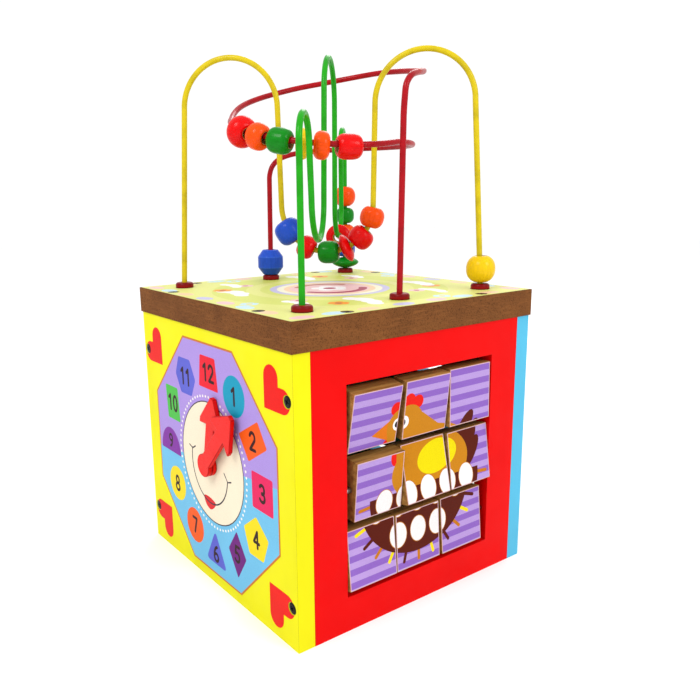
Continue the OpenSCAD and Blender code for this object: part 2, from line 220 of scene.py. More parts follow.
def lacquer(name, colour, roughness=0.24):
    """Glossy lacquer over turned wood: the grain just shows, and small dimples break the gloss."""
    look = Look(name, colour, roughness, Coat_Weight=0.14, Coat_Roughness=0.16)
    grain = look.noise(170, -0.2, 1.0, detail=4, stretch=(6, 6, 1))
    body = look.mix(grain, linear(colour, 1.05), linear(colour, 0.82))
    clouds = look.noise(45, -0.5, 0.6)
    look.tint(look.mix(clouds, body, linear(colour, 0.9)))
    look.rough(look.noise(120, roughness - 0.05, roughness + 0.12))
    look.bump(look.noise(300, detail=3, stretch=(3, 3, 1)), 0.03)
    return look.bump(look.noise(90, detail=1), 0.05).material


def coated_wire(name, colour):
    """Steel wire dipped in coloured vinyl, a little uneven, with scuffs that dull it."""
    look = Look(name, colour, 0.3, Coat_Weight=0.15, Coat_Roughness=0.15)
    scuffs = look.noise(120, -0.6, 1.0, detail=4)
    look.tint(look.mix(scuffs, linear(colour), linear(colour, 0.8)))
    look.rough(look.noise(110, 0.22, 0.42))
    return look.bump(look.noise(160, detail=2), 0.05).material


def metal(name, colour, roughness, stretch=(1, 1, 1)):
    """Drawn or blackened metal with fine lines and smudges."""
    look = Look(name, colour, roughness, Metallic=1.0)
    look.tint(look.mix(look.noise(120, 0.0, 0.8), linear(colour), linear(colour, 0.6)))
    look.rough(look.noise(70, roughness - 0.08, roughness + 0.12))
    return look.bump(look.noise(500, detail=2, stretch=stretch), 0.01).material


def moulded(name, colour):
    """Satin moulded plastic with a light grain and hairline scratches."""
    look = Look(name, colour, 0.34, Coat_Weight=0.08, Coat_Roughness=0.2)
    look.tint(look.mix(look.noise(50, -0.2, 0.9), linear(colour), linear(colour, 0.86)))
    look.rough(look.noise(260, 0.26, 0.46, detail=5, stretch=(1, 1, 5)))
    return look.bump(look.noise(800, detail=2), 0.02).material


INK_COLOURS = {
    "lavender": "#a98fd8", "sky": "#6fbbe2", "octagon_rim": "#c8742a", "cream": "#f0e3c9",
    "dash": "#f4efe2", "outline": "#3a2f3a", "digit": "#2e1418", "red": "#e3172e",
    "teal": "#0d97b8", "orange": "#ee5a17", "crimson": "#e0205c", "yellow": "#efd614",
    "dark_purple": "#6b1a78", "blue_violet": "#5a5fc8", "purple": "#7e2d9c", "green": "#4cb848",
    "tongue": "#d81f26", "heart": "#e5150f", "stripe_light": "#b295d3", "stripe_dark": "#8a62bb",
    "ochre": "#c47f12", "beak": "#dc7410", "comb": "#e41a0e", "wing": "#e6d400", "egg": "#ecebea",
    "nest": "#571808", "straw": "#bf7416", "black": "#171213",
    "paper": "#d9b3bd", "lid_green": "#e0e283", "lid_lime": "#c3d548", "lid_field": "#d5dc6c",
    "lid_cream": "#f2eed0",
    "lid_lavender": "#c3bfe0", "lid_pink": "#edc3c2", "lid_peach": "#f3cfa4", "lid_sky": "#c4e2ec",
    "white": "#f6f5f3", "lid_crimson": "#a93350", "lid_rust": "#b9683c", "pond": "#59b9e6",
    "deep_blue": "#2b6fc4", "grass": "#5fb235", "leaf": "#2f8a2c", "rose": "#ee6f9a",
    "sand": "#f0cf7c", "shell": "#f39c2c",
}
inks = {}


def ink(name):
    """Print on paper under a thin varnish, made the first time a colour is asked for."""
    if name not in inks:
        colour = INK_COLOURS[name]
        look = Look("ink_" + name, colour, 0.42)
        grain = look.noise(1700, 0.0, 1.0, detail=1)
        body = look.mix(grain, linear(colour, 0.93), linear(colour, 1.05))
        fade = look.noise(14, -0.8, 0.5)
        look.tint(look.mix(fade, body, linear(colour, 1.12)))
        inks[name] = look.bump(look.noise(600, detail=2), 0.01).material
    return inks[name]


# ---- making pieces ----


def new_piece(name, body, form, looks, place=None, replaces=(), smooth=38):
    """Turns a bmesh into a piece on a body, smooth up to that many degrees between faces."""
    mesh = bpy.data.meshes.new(name)
    form.to_mesh(mesh)
    form.free()
    mesh.shade_smooth()
    mesh.set_sharp_from_angle(angle=math.radians(smooth))
    for look in looks:
        mesh.materials.append(look)
    piece = bpy.data.objects.new(name, mesh)
    scene.collection.objects.link(piece)
    if place is not None:
        piece.matrix_world = place
    even = piece.modifiers.new("even_normals", "WEIGHTED_NORMAL")
    even.keep_sharp = True
    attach(piece, body)
    if replaces:
        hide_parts(*replaces)
    return piece


def softened(node, name, width, looks, segments=3, body="cube"):
    """A node's shape with its sharp edges rounded by width mm; rounded faces take the last look."""
    form = bmesh.new()
    form.from_mesh(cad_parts[node].data)
    bmesh.ops.remove_doubles(form, verts=form.verts, dist=0.002 * MM)
    flat = math.radians(0.5)
    bmesh.ops.dissolve_limit(form, angle_limit=flat, verts=form.verts, edges=form.edges)
    for face in form.faces:
        face.material_index = 0
    sharp = [e for e in form.edges if e.is_manifold and e.calc_face_angle() > math.radians(28)]
    bmesh.ops.bevel(
        form, geom=sharp, offset=width * MM, offset_type="OFFSET", segments=segments,
        profile=0.5, affect="EDGES", clamp_overlap=True, material=len(looks) - 1,
    )
    return new_piece(name, body, form, looks, replaces=[node])


def lathe(profile, steps=64):
    """A closed outline of (radius, height) points in mm turned round Z."""
    form = bmesh.new()
    rings = []
    for k in range(steps):
        turn = 2 * math.pi * k / steps
        across = Vector((math.cos(turn), math.sin(turn), 0))
        rings.append([form.verts.new((across * r + Vector((0, 0, z))) * MM) for r, z in profile])
    for k in range(steps):
        here, there = rings[k], rings[(k + 1) % steps]
        for i in range(len(profile)):
            j = (i + 1) % len(profile)
            form.faces.new((here[i], there[i], there[j], here[j]))
    bmesh.ops.recalc_face_normals(form, faces=form.faces)
    return form


def sweep(route, radius, sides=20):
    """A round bar along a route of points in mm, with flat ends."""
    form = bmesh.new()
    points = [Vector(p) * MM for p in route]
    last = len(points) - 1
    side, rings = None, []
    for i, point in enumerate(points):
        along = (points[min(i + 1, last)] - points[max(i - 1, 0)]).normalized()
        side = along.orthogonal() if side is None else side
        side = (side - along * side.dot(along)).normalized()
        across = along.cross(side)
        turns = [2 * math.pi * k / sides for k in range(sides)]
        ring = [point + radius * MM * (math.cos(t) * side + math.sin(t) * across) for t in turns]
        rings.append([form.verts.new(corner) for corner in ring])
    for here, there in zip(rings, rings[1:]):
        for k in range(sides):
            j = (k + 1) % sides
            form.faces.new((here[k], here[j], there[j], there[k]))
    form.faces.new(rings[0][::-1])
    form.faces.new(rings[-1])
    return form


# ---- flat shapes for the prints, in mm ----

PRINT_LIFT = 0.12
PRINT_SINK = 0.1


def disc(x, y, r, tall=None, turn=0, steps=48):
    """A circle, or an ellipse turned by so many degrees."""
    tall = tall or r
    spin = Matrix.Rotation(math.radians(turn), 2)
    angles = [2 * math.pi * k / steps for k in range(steps)]
    edge = [Vector((r * math.cos(a), tall * math.sin(a))) for a in angles]
    return [tuple(spin @ corner + Vector((x, y))) for corner in edge]


def box(x0, y0, x1, y1):
    return [(x0, y0), (x1, y0), (x1, y1), (x0, y1)]


def rounded(corners, radius, steps=6):
    """A polygon with each corner replaced by an arc-like curve that starts radius mm away."""
    loop = []
    for i, corner in enumerate(corners):
        here = Vector(corner)
        before = (Vector(corners[i - 1]) - here).normalized() * radius
        after = (Vector(corners[(i + 1) % len(corners)]) - here).normalized() * radius
        for k in range(steps + 1):
            t = k / steps
            loop.append(tuple(here + before * (1 - t) ** 2 + after * t**2))
    return loop


def flowing(points, steps=6):
    """A smooth closed curve through the points."""
    loop, count = [], len(points)
    for i in range(count):
        a, b, c, d = (Vector(points[(i + k) % count]) for k in (-1, 0, 1, 2))
        for k in range(steps):
            t = k / steps
            bend = (c - a) * t + (2 * a - 5 * b + 4 * c - d) * t**2 + (3 * b - a - 3 * c + d) * t**3
            loop.append(tuple(b + bend / 2))
    return loop


def arc(x, y, rx, ry, start, end, steps=14):
    """Points along an ellipse from one angle to another, in degrees."""
    turns = [math.radians(start + (end - start) * k / steps) for k in range(steps + 1)]
    return [(x + rx * math.cos(t), y + ry * math.sin(t)) for t in turns]


def stroke(points, width):
    """A brush stroke along the points: one outline, with a round cap at each end."""
    line = [Vector(p) for p in points]
    left, right = [], []
    for i, here in enumerate(line):
        along = (line[min(i + 1, len(line) - 1)] - line[max(i - 1, 0)]).normalized()
        side = Vector((-along.y, along.x)) * width / 2
        left.append(here + side)
        right.append(here - side)
    body = [tuple(p) for p in right + left[::-1]]
    return [body, disc(*line[0], width / 2, steps=16), disc(*line[-1], width / 2, steps=16)]


def figure(digit):
    """The strokes of one digit, in a box 0.6 wide and 1 high."""
    bowl = arc(0.3, 0.3, 0.21, 0.22, 90, 270), arc(0.3, 0.3, 0.21, 0.22, -90, 90)
    six = [*bowl, arc(0.46, 0.3, 0.37, 0.62, 180, 96)]
    shapes = {
        "0": [arc(0.3, 0.5, 0.21, 0.42, 90, 270), arc(0.3, 0.5, 0.21, 0.42, -90, 90)],
        "1": [[(0.14, 0.74), (0.34, 0.92)], [(0.34, 0.92), (0.34, 0.08)]],
        "2": [
            arc(0.3, 0.68, 0.22, 0.24, 165, -35),
            [(0.48, 0.54), (0.1, 0.08)], [(0.1, 0.08), (0.54, 0.08)],
        ],
        "3": [arc(0.28, 0.7, 0.2, 0.22, 150, -90), arc(0.28, 0.3, 0.23, 0.22, 90, -150)],
        "4": [
            [(0.4, 0.92), (0.08, 0.34)], [(0.08, 0.34), (0.56, 0.34)], [(0.4, 0.92), (0.4, 0.08)],
        ],
        "5": [
            [(0.5, 0.92), (0.17, 0.92)], [(0.17, 0.92), (0.12, 0.54)],
            arc(0.27, 0.33, 0.23, 0.25, 125, -145),
        ],
        "6": six,
        "7": [[(0.08, 0.92), (0.52, 0.92)], [(0.52, 0.92), (0.24, 0.08)]],
        "8": [arc(0.3, 0.71, 0.17, 0.21, a, a + 180) for a in (90, -90)]
        + [arc(0.3, 0.29, 0.22, 0.21, a, a + 180) for a in (90, -90)],
        "9": [[(0.6 - x, 1 - y) for x, y in line] for line in six],
    }
    return shapes[digit]


def number(text, x, y, height=14):
    """A number centred on a point, as outlines."""
    step, loops = 0.62 * height, []
    for i, digit in enumerate(text):
        left = x + (i - len(text) / 2) * step
        for line in figure(digit):
            placed = [(left + px * height, y + (py - 0.5) * height) for px, py in line]
            loops += stroke(placed, 0.17 * height)
    return loops


def inked(loops, name):
    return [(loop, name) for loop in loops]


def lay_print(form, looks, place, layers, frames=1):
    """Adds a thin printed skin to form, on the plane that place puts at Z = 0.

    Each layer is (outline, ink) and covers the ones before it; an ink of None leaves a hole.
    Nothing shows outside the first layer, and the first frames layers bound all the later ones.
    """
    lift, sink = PRINT_LIFT * MM, PRINT_SINK * MM
    points, faces = [], []
    for loop, _ in layers:
        area = sum(a[0] * b[1] - b[0] * a[1] for a, b in zip(loop, loop[1:] + loop[:1]))
        faces.append(list(range(len(points), len(points) + len(loop))))
        points += [Vector(p) for p in (loop if area > 0 else loop[::-1])]
    flat, _, triangles, _, _, owners = delaunay_2d_cdt(points, [], faces, 1, 1e-4, True)
    upper, lower, edges = {}, {}, {}
    for corners, ids in zip(triangles, owners):
        if 0 not in ids:
            continue
        bounded = all(frame_id in ids for frame_id in range(frames))
        colour = layers[max(ids) if bounded else 0][1]
        if colour is None:
            continue
        a, b, c = (flat[i] for i in corners)
        corners = list(corners) if (b - a).cross(c - a) > 0 else list(reversed(corners))
        for i in corners:
            if i not in upper:
                x, y = flat[i] * MM
                upper[i] = form.verts.new(place @ Vector((x, y, lift)))
                lower[i] = form.verts.new(place @ Vector((x, y, -sink)))
        if ink(colour) not in looks:
            looks.append(ink(colour))
        look = looks.index(ink(colour))
        form.faces.new([upper[i] for i in corners]).material_index = look
        form.faces.new([lower[i] for i in reversed(corners)]).material_index = look
        edges.update({(i, j): look for i, j in zip(corners, corners[1:] + corners[:1])})
    for (i, j), look in edges.items():
        if (j, i) not in edges:
            wall = form.faces.new((upper[j], upper[i], lower[i], lower[j]))
            wall.material_index = look


def printed(name, body, *sheets):
    """One piece made of printed sheets, each of them (place, layers, frames)."""
    form, looks = bmesh.new(), []
    for sheet in sheets:
        lay_print(form, looks, *sheet)
    return new_piece(name, body, form, looks, smooth=20)


def facing(right, up, origin):
    """A place whose X and Y point along right and up, at an origin in mm."""
    right, up = Vector(right), Vector(up)
    turn = Matrix((right, up, right.cross(up))).transposed().to_4x4()
    return Matrix.Translation(Vector(origin) * MM) @ turn


# ---- paint colours ----

lid_board = fibreboard("lid_fibreboard", "#84522a", "#523018")
base_board = fibreboard("base_fibreboard", "#b58a58", "#8a6238")
block_wood = wood("block_wood", "#b98a4a", "#80542a")
peg_wood = wood("peg_wood", "#d8c49a", "#b2966a", stretch=(2, 12, 12))
steel = metal("steel", "#b9bcc0", 0.28, stretch=(8, 1, 8))
black_metal = metal("black_metal", "#202022", 0.4)
collar_red = moulded("collar_red", "#8f0d12")
bead_looks = {
    "red": lacquer("red_lacquer", "#e20808"),
    "orange": lacquer("orange_lacquer", "#fb4f06"),
    "green": lacquer("green_lacquer", "#0c8216"),
    "yellow": lacquer("yellow_lacquer", "#f2c60c"),
    "blue": lacquer("blue_lacquer", "#2450c4"),
}
bead_wood = wood("bead_wood", "#d9b27a", "#a9803f", stretch=(8, 8, 1))


# ---- box ----

HALF = 100
LID_TOP = 200
SCREW_MID = 94
LID_SCREW_SIDE = 57
PANEL_SCREW_HEIGHTS = (27, 154)
SCREW_HOLE = 4.1


def box_boards():
    panels = (
        ("clock_panel", "yellow_panel", "#ebe512"),
        ("window_panel", "red_panel", "#e60303"),
        ("slider_panel", "blue_panel", "#58b9dd"),
        ("gear_panel", "green_panel", "#84bd3c"),
    )
    for node, slot, colour in panels:
        looks = [paint(node + "_paint", colour), worn_paint(node + "_edge", colour, 0.4)]
        softened(node, node + "_board", 0.7, looks)
    lid_looks = [lid_board, fibreboard("lid_edge", "#6f4424", "#4b2c16")]
    softened("lid", "lid_board", 1.2, lid_looks, segments=4)
    softened("base_board", "base_sheet", 0.5, [base_board])
    softened("block_rods", "block_rods_steel", 0.3, [steel])


def screw_form(place):
    """A countersunk screw with a domed head and a cross cut in it, at a place with Z outwards."""
    outline = [(0.01, 0.1), (2.2, 0.1), (3.3, -0.05), (3.85, -0.35), (3.9, -0.7), (1.8, -2.6)]
    outline += [(1.7, -28.5), (0.01, -30)]
    form = bmesh.new()
    rings = []
    steps = 32
    for r, z in outline[1:-1]:
        turns = [2 * math.pi * (k + 0.5) / steps for k in range(steps)]
        rings.append([form.verts.new(Vector((r * math.cos(t), r * math.sin(t), z))) for t in turns])
    for here, there in zip(rings, rings[1:]):
        for k in range(steps):
            j = (k + 1) % steps
            form.faces.new((here[k], there[k], there[j], here[j]))
    tip = form.verts.new((0, 0, -30))
    for k in range(steps):
        form.faces.new((rings[-1][k], tip, rings[-1][(k + 1) % steps]))
    a, b = 0.42, 1.75
    cross = [
        (a, a), (a, b), (-a, b), (-a, a), (-b, a), (-b, -a),
        (-a, -a), (-a, -b), (a, -b), (a, -a), (b, -a), (b, a),
    ]
    rim = [form.verts.new((x, y, 0.1)) for x, y in cross]
    floor = [form.verts.new((x * 0.8, y * 0.8, -0.9)) for x, y in cross]
    for i in range(12):
        j = (i + 1) % 12
        form.faces.new((rim[i], floor[i], floor[j], rim[j]))
    form.faces.new(floor[::-1])
    edges = []
    for loop in (rings[0], rim):
        for i, vert in enumerate(loop):
            edge = form.edges.get((vert, loop[(i + 1) % len(loop)]))
            edges.append(edge or form.edges.new((vert, loop[(i + 1) % len(loop)])))
    bmesh.ops.triangle_fill(form, use_beauty=True, edges=edges, normal=(0, 0, 1))
    bmesh.ops.recalc_face_normals(form, faces=form.faces)
    bmesh.ops.scale(form, vec=(MM, MM, MM), verts=form.verts)
    bmesh.ops.transform(form, matrix=place, verts=form.verts)
    return form


def screws():
    """Eight screws down into the panels, and four through each of the two wide panels."""
    lid_places, panel_places = [], []
    for quarter in range(4):
        spin = Matrix.Rotation(math.radians(90 * quarter), 4, "Z")
        for along in (-LID_SCREW_SIDE, LID_SCREW_SIDE):
            turn = Matrix.Rotation(math.radians(37 * quarter + along), 4, "Z")
            spot = Matrix.Translation(Vector((SCREW_MID, along, LID_TOP)) * MM)
            lid_places.append(spin @ spot @ turn)
    for half in range(2):
        spin = Matrix.Rotation(math.radians(180 * half), 4, "Z")
        for across in (-SCREW_MID, SCREW_MID):
            for height in PANEL_SCREW_HEIGHTS:
                turn = Matrix.Rotation(math.radians(height + across), 4, "Z")
                face = facing((1, 0, 0), (0, 0, 1), (across, -HALF, height))
                panel_places.append(spin @ face @ turn)
    for node, places in (("lid_screws", lid_places), ("panel_screws", panel_places)):
        form = bmesh.new()
        for place in places:
            single = bpy.data.meshes.new("screw")
            one = screw_form(place)
            one.to_mesh(single)
            one.free()
            form.from_mesh(single)
        new_piece(node + "_black", "cube", form, [black_metal], replaces=[node])


# ---- clock ----

CLOCK_MIDDLE = 90
DASHES = 72


def clock_print():
    """Twelve numbered tiles round a plain smiling face, and a heart round each screw."""
    edge = [
        (-34, 173), (34, 173), (83, 124), (83, 56), (34, 7.5), (-34, 7.5), (-83, 56), (-83, 124),
    ]
    inner = [(x * 0.984, CLOCK_MIDDLE + (z - CLOCK_MIDDLE) * 0.984) for x, z in edge]
    layers = [(edge, "octagon_rim"), (inner, "sky")]
    layers.append(([(-90, 81), (90, 99), (90, 180), (-90, 180)], "lavender"))
    tiles = [
        (rounded([(-9.5, 164), (11, 164), (14, 142), (-12.5, 142)], 1.5), "red"),
        (disc(34, 144, 13.5), "teal"),
        (rounded([(38.5, 121.5), (61.5, 134.5), (71.5, 119.5), (49.5, 106)], 1.5), "orange"),
        (rounded(box(52.5, 77.5, 76.5, 101.5), 1.5), "crimson"),
        (rounded([(56, 71.5), (70, 60), (63.5, 43.5), (46.5, 43.5), (40.5, 60)], 1.5), "yellow"),
        (rounded([(30.5, 52), (42, 36), (30.5, 18.5), (19, 36)], 1.5), "dark_purple"),
        (rounded([(0.5, 41), (15, 15.5), (-14, 15.5)], 5), "blue_violet"),
        (disc(-30, 34, 13), "orange"),
        (disc(-55.5, 58, 13), "yellow"),
        (arc(-63, 81, 16, 18.5, 0, 180, 24), "purple"),
        (rounded([(-66.5, 132.5), (-47, 132.5), (-45, 107.5), (-64.5, 107.5)], 1.5), "green"),
        (rounded([
            (-42.5, 157), (-25.5, 157), (-18, 144), (-24.5, 131.5), (-40.5, 131.5), (-48, 144),
        ], 1.5), "blue_violet"),
    ]
    marks = [
        ("12", 1, 153), ("1", 34, 144), ("2", 55, 120.5), ("3", 64.5, 89.5), ("4", 55.5, 56),
        ("5", 30.5, 35.5), ("6", 0.5, 23.5), ("7", -30, 34), ("8", -55.5, 58), ("9", -63, 89.5),
        ("10", -56, 120), ("11", -33, 144),
    ]
    layers += tiles
    for text, x, z in marks:
        layers += inked(number(text, x, z, 11 if text == "9" else 13), "digit")
    layers += [(disc(0, CLOCK_MIDDLE, 43), "outline"), (disc(0, CLOCK_MIDDLE, 42.2), "cream")]
    for k in range(DASHES):
        turn = 2 * math.pi * k / DASHES
        x, y = 46.2 * math.cos(turn), CLOCK_MIDDLE + 46.2 * math.sin(turn)
        layers.append((disc(x, y, 0.95, steps=10), "dash"))
    tongue = [(-13, 63), (-11, 57.5), (-5, 55), (1, 58), (3, 62), (-5, 64)]
    layers.append((flowing(tongue), "tongue"))
    layers += inked(stroke(arc(-3.5, 87, 25, 27, 165, 352, 24), 1.1), "outline")
    layers += inked(stroke([(-32, 95), (-27.5, 93.5), (-23, 96)], 1.1), "outline")
    layers += inked(stroke([(17, 88), (21.5, 83), (26, 84.5)], 1.1), "outline")
    layers.append((disc(0, CLOCK_MIDDLE, 3.4, steps=32), None))
    face = facing((1, 0, 0), (0, 0, 1), (0, -HALF, 0))
    printed("clock_print", "cube", (face, layers, 2))
    corners = [
        ("upper_right", (70, 145.5), 0), ("upper_left", (-70, 145.5), 90),
        ("lower_left", (-69.5, 33.5), 180), ("lower_right", (69.5, 33.5), 270),
    ]
    for corner, (x, z), turn in corners:
        outline = heart_outline(x, z, turn)
        height = PANEL_SCREW_HEIGHTS[z > CLOCK_MIDDLE]
        screw = disc(math.copysign(SCREW_MID, x), height, SCREW_HOLE, steps=32)
        printed("heart_" + corner, "cube", (face, [(outline, "heart"), (screw, None)], 1))


def heart_outline(x, y, turn, long=27, wide=15):
    """The outline of a heart of two crossed rounded bars, its square tip at (x, y)."""
    cap = wide / 2
    loop = [(0, 0), *arc(long - cap, cap, cap, cap, -90, 90), (wide, wide)]
    loop += arc(cap, long - cap, cap, cap, 0, 180)
    spin = Matrix.Rotation(math.radians(turn), 2)
    return [tuple(spin @ Vector(p) + Vector((x, y))) for p in loop]


def flower(x, y, r, petals, heart_ink, count=6):
    """A flower of round petals round a round middle."""
    loops = []
    for k in range(count):
        a = 2 * math.pi * k / count + 0.3
        across, up = 0.62 * r * math.cos(a), 0.62 * r * math.sin(a)
        loops.append((disc(x + across, y + up, 0.42 * r, steps=20), petals))
    return loops + [(disc(x, y, 0.36 * r, steps=20), heart_ink)]


def cloud(x, y, size, colour="white"):
    """A flat-bottomed cloud of four puffs."""
    puffs = ((-1.1, 0, 0.6), (-0.4, 0.35, 0.75), (0.45, 0.25, 0.7), (1.15, -0.05, 0.55))
    return [
        (disc(x + size * px, y + size * py, size * r, size * r * 0.8, steps=24), colour)
        for px, py, r in puffs
    ]


COLLAR_HOLE = 6.7
BORDER_SPOT = (8, 5)


def lid_print():
    """A round garden with a border of pale spots, left open round the screws and the wires."""
    layers = [(rounded(box(-100, -100, 100, 100), 1.5), "lid_green")]
    for r, name in ((84, "lid_field"), (60, "lid_green"), (50, "lid_field")):
        layers.append((disc(2, 0, r, steps=72), name))
    for quarter in range(4):
        a, b = math.cos(math.pi / 2 * quarter), math.sin(math.pi / 2 * quarter)
        turn = lambda x, y: (a * x - b * y, b * x + a * y)
        border = (
            (-88, "lid_pink"), (-66, "lid_sky"), (-40, "lid_peach"), (-12, "lid_lavender"),
            (16, "lid_pink"), (40, "lid_sky"), (66, "lid_peach"),
        )
        for along, name in border:
            x, y = turn(along, -93)
            layers.append((disc(x, y, *BORDER_SPOT, 90 * quarter), name))
        for x, y, size in ((-22, -66, 11), (46, -60, 8)):
            layers += cloud(*turn(x, y), size)
        layers += flower(*turn(64, -40), 7, "shell", "lid_rust")
        layers += flower(*turn(-52, -38), 6, "lid_pink", "lid_crimson")
        layers += flower(*turn(30, -84), 6, "lid_sky", "yellow")
    layers += [(disc(2, 0, 43, steps=64), "lid_lavender"), (disc(2, 0, 38, steps=64), "lid_cream")]
    layers.append((disc(2, 0, 33, steps=64), "lid_peach"))
    layers.append((disc(2, 0, 29, steps=64), "lid_pink"))
    layers += inked(stroke(arc(2, 0, 24, 24, -70, 60, 18), 6), "lid_crimson")
    layers += inked(stroke(arc(2, 0, 24, 24, 120, 220, 14), 5), "lid_rust")
    layers += flower(2, 0, 13, "white", "lid_crimson", 5)
    for quarter in range(4):
        a, b = math.cos(math.pi / 2 * quarter), math.sin(math.pi / 2 * quarter)
        for x, y in ((SCREW_MID, -LID_SCREW_SIDE), (SCREW_MID, LID_SCREW_SIDE)):
            layers.append((disc(a * x - b * y, b * x + a * y, SCREW_HOLE, steps=32), None))
    for x, y in ((-1, -1), (1, 1), (1, -1), (-1, 1), (1, 0), (-1, 0)):
        layers.append((disc(x * FOOT, y * FOOT, COLLAR_HOLE, steps=40), None))
    printed("lid_print", "cube", (facing((1, 0, 0), (0, 1, 0), (0, 0, LID_TOP)), layers))


SLOT_HEIGHTS = (130, 88, 46)


def slider_print():
    """A hill, sun and clouds behind the three slots."""
    layers = [(rounded(box(-84, 14, 84, 170), 6), "lid_sky"), (disc(-52, 152, 14), "yellow")]
    layers += cloud(20, 155, 9) + cloud(60, 108, 8) + cloud(-40, 106, 7)
    hills = [(-95, 40), (-60, 62), (-25, 44), (15, 66), (55, 48), (95, 60), (95, 0), (-95, 0)]
    layers.append((hills, "grass"))
    flowers = (
        (-66, 26, "rose"), (-30, 32, "white"), (8, 24, "heart"), (42, 30, "yellow"), (70, 26, "rose"),
    )
    for x, y, petals in flowers:
        layers += inked(stroke([(x, 12), (x, y)], 1.6), "leaf")
        layers += flower(x, y, 7.5, petals, "orange")
    for height, name in zip(SLOT_HEIGHTS, ("yellow", "white", "sand")):
        layers.append((rounded(box(-83, height - 8, 83, height + 8), 8), name))
        for k in range(11):
            x = -75 + 15 * k
            layers += [(disc(x, height + side, 1.1, steps=12), "orange") for side in (-6.2, 6.2)]
    layers = [layers[0], (layers[0][0], "lid_sky")] + layers[1:]
    for height in SLOT_HEIGHTS:
        layers.append((rounded(box(-80.5, height - 5, 80.5, height + 5), 5, 12), None))
    printed("slider_print", "cube", (facing((-1, 0, 0), (0, 0, 1), (0, HALF, 0)), layers, 2))


PEG_HOLE = 5.3


def gear_print():
    """A round garden behind the gears."""
    layers = [(disc(0, 90, 82, steps=72), "leaf"), (disc(0, 90, 80, steps=72), "lid_lime")]
    hill = [(-90, 60), (-40, 76), (0, 62), (40, 78), (90, 64), (90, 0), (-90, 0)]
    layers.append((flowing(hill), "grass"))
    layers += [(disc(-38, 138, 12), "yellow")] + cloud(30, 148, 9) + cloud(56, 120, 7)
    flowers = (
        (-62, 52, "rose"), (-46, 30, "white"), (-10, 24, "heart"), (24, 22, "yellow"),
        (52, 34, "rose"), (-60, 104, "white"),
    )
    for x, y, petals in flowers:
        layers += inked(stroke([(x, y - 14), (x, y)], 1.6), "leaf")
        layers += flower(x, y, 8, petals, "orange")
    for y, z in GEAR_MIDDLES:
        layers.append((disc(-y, z, PEG_HOLE, steps=32), None))
    printed("gear_print", "cube", (facing((0, -1, 0), (0, 0, 1), (-HALF, 0, 0)), layers, 2))


def clock_hands():
    looks = [moulded("hand_red", "#f01208"), moulded("hand_edge", "#c80d08")]
    softened("hour_hand", "hour_hand_plate", 0.6, looks, body="hour_hand")
    softened("minute_hand", "minute_hand_plate", 0.6, looks, body="minute_hand")
    softened("clock_pin", "clock_pin_steel", 0.5, [steel], body="minute_hand")
    softened("pin_washer", "pin_washer_steel", 0.3, [steel], body="minute_hand")


# ---- picture blocks ----

ROD_X = 94
ROWS = (134.8, 90.4, 46.0)
TILE = (38.5, 39.0)
TILE_HALF = 6
BLOCKS = [
    ("block_1", 0, -40.5, 10.5), ("block_2", 0, 2, 6.5), ("block_3", 0, 42.2, -1),
    ("block_4", 1, -37, 5), ("block_5", 1, 2.5, -12), ("block_6", 1, 43, -8),
    ("block_7", 2, -42.8, -5.5), ("block_8", 2, -3.6, -3.5), ("block_9", 2, 36.8, -5),
]


def hen_picture():
    """A plain hen over two rows of eggs in a bowl of a nest, as (outline, ink) layers."""
    layers = []
    for i in range(30):
        low = 29 + 4.25 * i
        layers.append((box(-60, low, 60, low + 4.25), "stripe_dark" if i % 2 else "stripe_light"))
    for i in range(13):
        a = math.radians(186 + 14 * i)
        ends = [(r * math.cos(a), 82 + 0.85 * r * math.sin(a)) for r in (40, 54)]
        layers += inked(stroke(ends, 2.4), ("straw", "yellow", "nest")[i % 3])
    for x, height in ((33, 108), (38, 101), (40, 93)):
        layers.append((disc(x, height, 5, 13, -38, 32), "nest"))
    for x, height in ((-22, 133), (-15, 136), (-8, 134)):
        layers.append((disc(x, height, 4.6, steps=24), "comb"))
    layers.append((disc(-27, 107, 3.6, 6, 0, 24), "comb"))
    layers.append(([(-26, 126), (-40, 118), (-26, 112)], "beak"))
    layers.append(([(-27, 116), (-3, 126), (28, 104), (26, 80), (-24, 80)], "ochre"))
    layers += [(disc(4, 94, 33, 22), "ochre"), (disc(-15, 120, 13), "ochre")]
    layers += [(disc(-19, 122, 4.4, steps=32), "white"), (disc(-19.6, 122, 2.3, steps=24), "black")]
    layers.append((disc(10, 97, 17, 10.5, 12), "wing"))
    layers.append((arc(0, 82, 46, 40, 180, 360, 40), "nest"))
    rows = [(17 * k, 78) for k in (-2, -1, 0, 1, 2)] + [(17 * k, 57) for k in (-1, 0, 1)]
    for x, height in rows:
        layers.append((disc(x, height, 7.2, 9, 0, 32), "straw"))
        layers.append((disc(x, height, 6.7, 8.5, 0, 32), "egg"))
    return layers


def pond_picture():
    """A sailing boat on a pond, for the blocks' other sides, in the same frame."""
    layers = [(box(-60, 29, 60, 151), "pond"), (disc(38, 130, 13), "yellow")]
    layers += cloud(-34, 132, 9) + cloud(8, 138, 6)
    water = [(-70, 74), (-40, 78), (-10, 73), (20, 78), (50, 73), (70, 76), (70, 20), (-70, 20)]
    layers.append((water, "deep_blue"))
    layers.append(([(-40, 68), (40, 68), (28, 48), (-28, 48)], "heart"))
    layers += inked(stroke([(0, 66), (0, 128)], 3), "nest")
    layers += [([(4, 124), (38, 76), (4, 76)], "white"), ([(-4, 118), (-32, 76), (-4, 76)], "orange")]
    for row, shift in ((42, 0), (34, 14)):
        for k in range(-2, 3):
            start = 26 * k + shift
            layers += inked(stroke(arc(start, row, 8, 4, 200, 340, 8), 2), "sky")
    return layers


